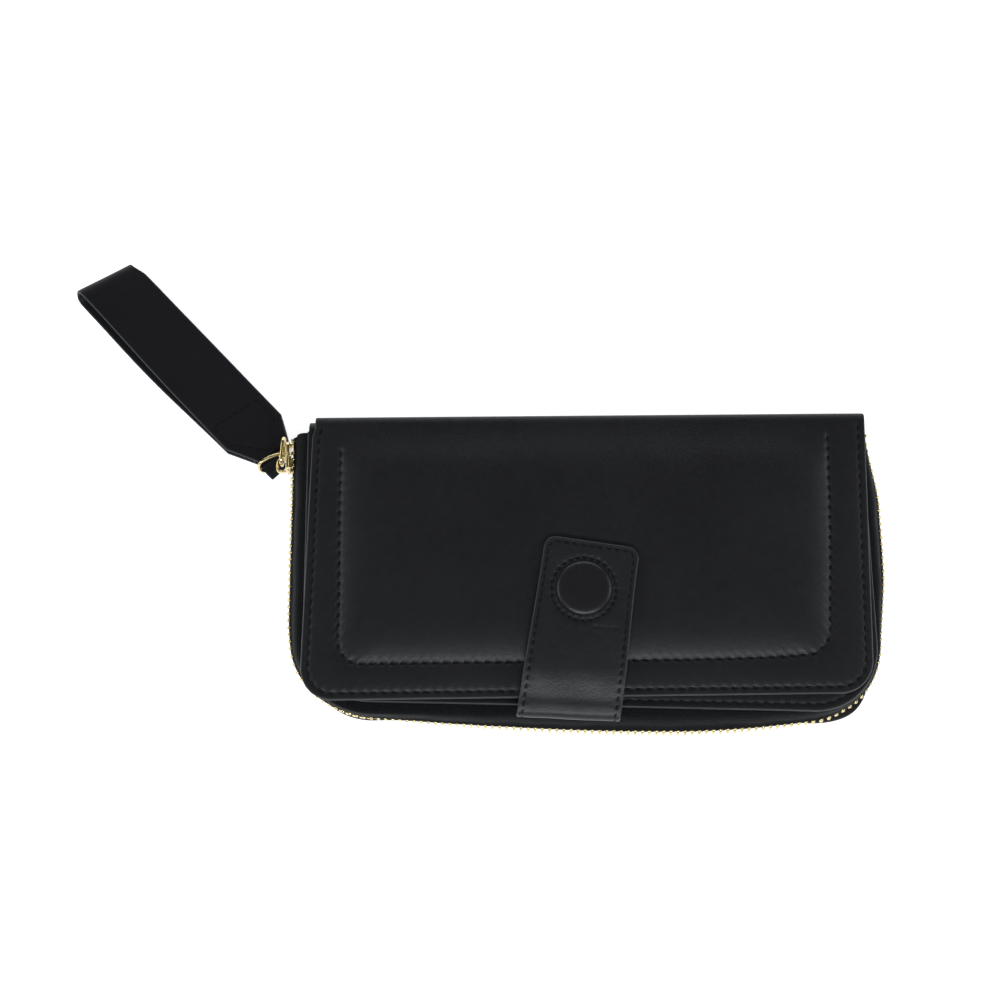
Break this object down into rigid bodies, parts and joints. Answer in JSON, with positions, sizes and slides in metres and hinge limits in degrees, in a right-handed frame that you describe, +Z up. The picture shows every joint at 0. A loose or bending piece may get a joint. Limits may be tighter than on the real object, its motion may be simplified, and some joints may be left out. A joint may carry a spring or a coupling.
{
  "type": "zip around wallet",
  "caption": "Long black leather wallet, zipped round three sides, with a padded front flap held by a snap tab and a wrist loop on the slider's ring.",
  "frame": {"origin": "centre of the back cover's flat underside, on the surface it rests on", "axes": "+X along the wallet, away from the wrist loop; +Y towards the spine; +Z up, out of the front flap"},
  "size_m": [0.2771, 0.171, 0.0302],
  "materials": {
    "black_leather": "fine-grained smooth leather, semi-matt",
    "zip_tape": "woven polyester zip tape",
    "lining_fabric": "woven lining cloth",
    "stiffener_board": "stiffening board",
    "foam_pad": "thin foam",
    "pale_gold_metal": "polished pale gold plating",
    "snap_steel": "dark nickel plating",
    "black_cap": "leather-covered snap cap"
  },
  "bodies": {
    "back": {"back_cover": "black_leather", "back_board": "stiffener_board", "back_lining": "lining_fabric", "lower_tape": "zip_tape", "lower_teeth": "pale_gold_metal", "rear_card_panel_upper": "black_leather", "rear_card_panel_lower": "black_leather", "coin_pocket_back": "lining_fabric", "coin_pocket_front": "lining_fabric", "coin_zip_tape_front": "zip_tape", "coin_zip_tape_rear": "zip_tape", "coin_zip_teeth": "pale_gold_metal", "gusset_left": "lining_fabric", "gusset_right": "lining_fabric", "spine_lower": "black_leather", "end_stop_left_lower": "pale_gold_metal", "end_stop_right_lower": "pale_gold_metal"},
    "middle": {"middle_leather": "black_leather", "upper_tape": "zip_tape", "upper_teeth": "pale_gold_metal", "middle_board": "stiffener_board", "middle_lining": "lining_fabric", "slip_panel": "black_leather", "tab_anchor": "black_leather", "tab_fold": "black_leather", "spine_upper": "black_leather", "end_stop_left_upper": "pale_gold_metal", "end_stop_right_upper": "pale_gold_metal"},
    "flap": {"flap_leather": "black_leather", "flap_board": "stiffener_board", "flap_pad": "foam_pad", "flap_lining": "lining_fabric", "flap_card_panel_upper": "black_leather", "flap_card_panel_lower": "black_leather", "snap_stud": "snap_steel"},
    "tab": {"tab_leather": "black_leather", "tab_lining": "lining_fabric", "snap_socket": "snap_steel", "snap_cap": "black_cap"},
    "slider": {"slider_body": "pale_gold_metal"},
    "puller": {"puller": "pale_gold_metal"},
    "ring": {"ring": "pale_gold_metal"},
    "wrist_loop": {"wrist_strap": "black_leather", "strap_tongue": "black_leather"},
    "coin_slider": {"coin_slider": "pale_gold_metal"},
    "coin_puller": {"coin_puller": "pale_gold_metal"}
  },
  "joints": [
    {"name": "leaf_open", "type": "hinge", "parent": "back", "child": "middle", "pos_m": [0, 0.0475, 0.00915], "axis": [-1, 0, 0], "range_deg": [0, 90], "deforming": ["spine_lower", "gusset_left", "gusset_right"]},
    {"name": "flap_open", "type": "hinge", "parent": "middle", "child": "flap", "pos_m": [0, 0.0475, 0.0203], "axis": [-1, 0, 0], "range_deg": [0, 170], "deforming": ["spine_upper"]},
    {"name": "tab_open", "type": "hinge", "parent": "middle", "child": "tab", "pos_m": [-0.0076, -0.0465, 0.022], "axis": [1, 0, 0], "range_deg": [0, 160], "deforming": ["tab_fold"]},
    {"name": "slider_travel", "type": "slide", "parent": "back", "child": "slider", "axis": [0, -1, 0], "range_m": [0, 0.055], "deforming": ["lower_teeth", "upper_teeth"]},
    {"name": "puller_swing", "type": "hinge", "parent": "slider", "child": "puller", "pos_m": [-0.10445, 0.037, 0.00915], "axis": [0, 0, 1], "range_deg": [0, 75]},
    {"name": "ring_swing", "type": "hinge", "parent": "puller", "child": "ring", "pos_m": [-0.1041, 0.0415, 0.0067], "axis": [0, 0, 1], "range_deg": [-7, 10]},
    {"name": "wrist_loop_swing", "type": "hinge", "parent": "ring", "child": "wrist_loop", "pos_m": [-0.1074, 0.0388, 0.0036], "axis": [-0.848, -0.5299, 0], "range_deg": [0, 36]},
    {"name": "coin_slider_travel", "type": "slide", "parent": "back", "child": "coin_slider", "axis": [1, 0, 0], "range_m": [0, 0.125], "deforming": ["coin_zip_teeth"]},
    {"name": "coin_puller_swing", "type": "hinge", "parent": "coin_slider", "child": "coin_puller", "pos_m": [-0.0665, 0.0342, 0.01105], "axis": [0, 1, 0], "range_deg": [-10, 0]}
  ]
}
